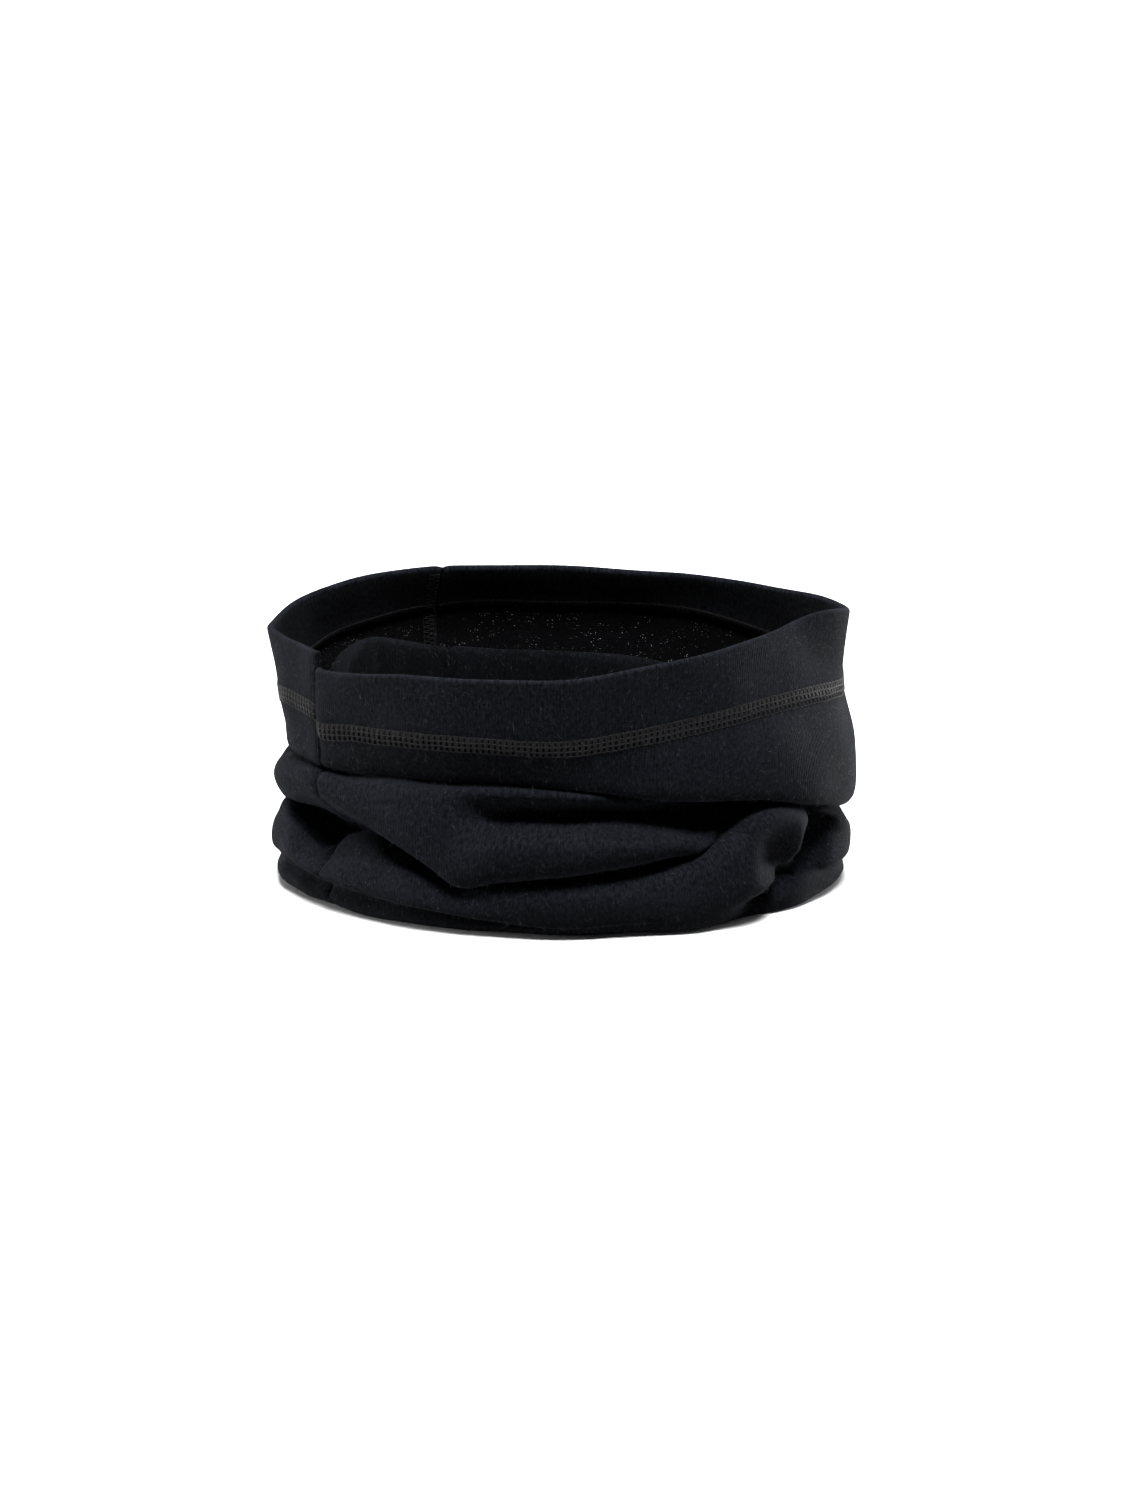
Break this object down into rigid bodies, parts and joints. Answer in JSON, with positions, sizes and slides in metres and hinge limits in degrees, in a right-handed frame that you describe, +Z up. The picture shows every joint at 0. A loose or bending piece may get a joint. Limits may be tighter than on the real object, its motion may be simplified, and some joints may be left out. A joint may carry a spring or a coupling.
{
  "type": "neck gaiter",
  "caption": "Knitted wool tube that warms the neck, pushed down into soft tiers with its lower end tucked up inside; doubled rims joined by flatlock seams.",
  "frame": {"origin": "on the ground under the middle of the pushed-down tube", "axes": "+X to the right of the front view and along the long way of the oval, -Y to the front, +Z up along the tube"},
  "size_m": [0.186, 0.122, 0.086],
  "materials": {
    "knit_cloth": "matte, slightly fuzzy fine wool jersey",
    "needle_thread": "twisted polyester sewing thread",
    "cover_thread": "textured polyester thread",
    "looper_thread": "textured polyester thread",
    "overlock_thread": "textured polyester thread"
  },
  "bodies": {
    "root": {"main_panel": "knit_cloth", "main_top_band": "knit_cloth", "main_hem_band": "knit_cloth", "side_panel": "knit_cloth", "side_top_band": "knit_cloth", "side_hem_band": "knit_cloth", "main_top_needle_threads": "needle_thread", "main_top_cover_thread": "cover_thread", "main_top_looper_threads": "looper_thread", "main_hem_needle_threads": "needle_thread", "main_hem_cover_thread": "cover_thread", "main_hem_looper_threads": "looper_thread", "side_top_needle_threads": "needle_thread", "side_top_cover_thread": "cover_thread", "side_top_looper_threads": "looper_thread", "side_hem_needle_threads": "needle_thread", "side_hem_cover_thread": "cover_thread", "side_hem_looper_threads": "looper_thread", "front_overlock": "overlock_thread", "back_overlock": "overlock_thread"}
  },
  "joints": []
}
